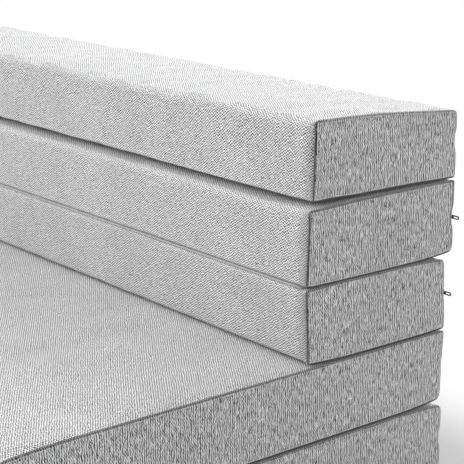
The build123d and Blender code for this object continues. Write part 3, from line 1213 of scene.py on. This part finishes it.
def add_world():
    """Even white light all round, and plain white where the camera looks past the floor."""
    world = bpy.data.worlds.new("studio")
    world.use_nodes = True
    tree = world.node_tree
    tree.nodes.clear()
    lit, shown = (
        wire(tree, "ShaderNodeBackground", {"Color": WHITE, "Strength": strength})[0]
        for strength in (WORLD_STRENGTH, 1.0)
    )
    mix = wire(tree, "ShaderNodeMixShader", {0: plainly_seen(tree), 1: lit, 2: shown})[0]
    wire(tree, "ShaderNodeOutputWorld", {"Surface": mix})
    bpy.context.scene.world = world


def add_floor():
    """A pale floor that keeps the sofa's shadow and turns white further out."""
    mesh = bpy.data.meshes.new("floor")
    corners = [(x * FLOOR_HALF, y * FLOOR_HALF, 0) for x, y in ((-1, -1), (1, -1), (1, 1), (-1, 1))]
    mesh.from_pydata(corners, [], [(0, 1, 2, 3)])
    floor = new_object("floor", mesh)
    floor.location.z = -FLOOR_DROP
    material, tree, shader = new_material("floor")
    feed(tree, shader, {"Base Color": FLOOR_GREY, "Roughness": 0.9})
    place = axes_of(tree, wire(tree, "ShaderNodeTexCoord")["Object"])
    beyond = [calc(tree, "SUBTRACT", calc(tree, "ABSOLUTE", place[n]), cad_box[1][n]) for n in (0, 1)]
    away = ranged(tree, calc(tree, "MAXIMUM", *beyond), *FLOOR_FADE, soft=True)
    white = wire(tree, "ShaderNodeEmission", {"Color": WHITE, "Strength": 1.0})[0]
    whitened = calc(tree, "MULTIPLY", away, plainly_seen(tree))
    mix = wire(tree, "ShaderNodeMixShader", {0: whitened, 1: shader.outputs[0], 2: white})[0]
    tree.links.new(mix, tree.nodes["Material Output"].inputs["Surface"])
    mesh.materials.append(material)


add_camera()
add_world()
add_floor()
for lamp in LAMPS:
    add_area_light(*lamp)

FINISHES = {
    "cover_fabric": cloth_material("cover cloth", 0.90, 0.05, 0.0020, 1.5, (1.1, 0.2, 0.3), (0.0022, 0.007, 0.8)),
    "end_fabric": cloth_material("end cloth", 0.84, 0.05, 0.0019, 1.4, (0.4, 0.8, 0.3), (0.0013, 0.012, 2.1)),
    "hinge_fabric": cloth_material("hinge cloth", 0.75, 0.20, 0.0014, 1.0, (0.3, 0.1, 0.3), (0.003, 0.010, 0.4)),
    "foam": grained_material(
        "foam", (0.86, 0.82, 0.70, 1), (0.72, 0.66, 0.52, 1), 0.006, 1.0, 0.9, 0.0005, CLOTH_SHEEN, foam_pores),
    "zipper_tape": grained_material(
        "zipper tape", grey(0.40), grey(0.24), 0.0007, 3.0, 0.8, 0.0003, CLOTH_SHEEN, herringbone),
    "zipper_coil": grained_material(
        "nylon teeth", grey(0.34), grey(0.24), 0.0009, 1.0, 0.38, 0.0001, {"Specular IOR Level": 0.5}),
    "slider_metal": grained_material(
        "dark lacquer", grey(0.07), grey(0.04), 0.0012, 2.0, 0.42, 0.0001,
        {"Metallic": 0.3, "Coat Weight": 0.15, "Coat Roughness": 0.25}),
}
THREAD = grained_material("thread", grey(0.92), grey(0.60), 0.0005, 0.4, 0.7, 0.0002, CLOTH_SHEEN)


def dress(piece, body, slot, *nodes, finish=None):
    """Give a piece its slot's material or the given finish, its body, and hide the CAD nodes it stands for."""
    piece.data.materials.clear()
    piece.data.materials.append(finish or FINISHES[slot])
    if body:
        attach(piece, body)
    if nodes:
        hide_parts(*nodes)


slots = {part["node"]: part["material_slot"] for part in frame["record"]["subparts"]}
for node, obj in frame["nodes"].items():
    obj.data.materials.clear()
    obj.data.materials.append(FINISHES[slots[node]])

sections = {}
wraps = {}
ends = {}
for block in BLOCKS:
    round_spacing, long_spacing = DEEP_SPACING if block in DEEP else SLIM_SPACING
    section = sections[block] = Section(block, round_spacing)
    wrap = wraps[block] = make_wrap(section, long_spacing)
    mark_edges(section, wrap)
    slot_lines = (1, wrap["lines"] - 1)
    hold(wrap, [
        1 if section.high.x - abs(v.co.x) < HELD_END or i % wrap["lines"] in slot_lines else SOFT_HOLD
        for i, v in enumerate(wrap.data.vertices)
    ])
    ends[block] = [make_end(section, side) for side in (1, -1)]
    for end in ends[block]:
        rings, lines = end["rings"], end["lines"]
        hold(end, [
            1 if min(i % lines, lines - 1 - i % lines, i // lines, rings - 1 - i // lines) < 2 else SOFT_HOLD
            for i in range(rings * lines)
        ])

travels = simulate([*wraps.values(), *(end for pair in ends.values() for end in pair)])
back_front = sections["lower_back"].low.y
for block, section in sections.items():
    settle_wrap(section, wraps[block], travels[wraps[block].name], back_front)
    for end in ends[block]:
        settle_end(end, travels[end.name])

seams = {}
for block, section in sections.items():
    wrap = wraps[block]
    for piece in (wrap, *ends[block]):
        if block == SLOPED:
            crest(section, piece)
        piece.vertex_groups.clear()
        subdivided(piece)
    dress(make_core(section, wrap), block, "foam", f"{block}_foam")
    dress(make_tapes(section), block, "zipper_tape", f"{block}_zipper_tape")
    low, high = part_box(f"{block}_zipper_coil")
    rows = [
        [(x, (low.y + high.y) / 2, section.middle + side * TOOTH_ROW) for x in (low.x + shift, high.x - TOOTH_END)]
        for side, shift in TOOTH_SHIFTS
    ]
    teeth = beads(f"{block}_teeth", rows, *TOOTH, FINISHES["zipper_coil"])
    dress(teeth, block, "zipper_coil", f"{block}_zipper_coil")
    seams[block] = slot_seams(section, wrap) + [end_seam(end) for end in ends[block]]
    drop_loose(wrap)
    for piece in (wrap, *ends[block]):
        thicken(piece, CLOTH, -1)
        if piece is wrap:
            dress(piece, block, "cover_fabric", f"{block}_cover")
        else:
            dress(piece, block, "end_fabric", f"{piece.name}_panel")

for lower, upper in zip(BLOCKS, BLOCKS[1:]):
    strip, line, reach = make_hinge(lower, upper)
    side = hinge_side(lower)
    dress(strip, None, "hinge_fabric", f"{lower}_{side}_flap", f"{upper}_{side}_flap")
    seams[lower].append(flap_seam(line, reach, False))
    seams[upper].append(flap_seam(line, reach, True))
    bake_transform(strip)

for block, lines in seams.items():
    dress(beads(f"{block}_stitches", lines, *STITCH, THREAD), block, "cover_fabric", finish=THREAD)

bpy.context.scene.view_settings.view_transform = "Standard"
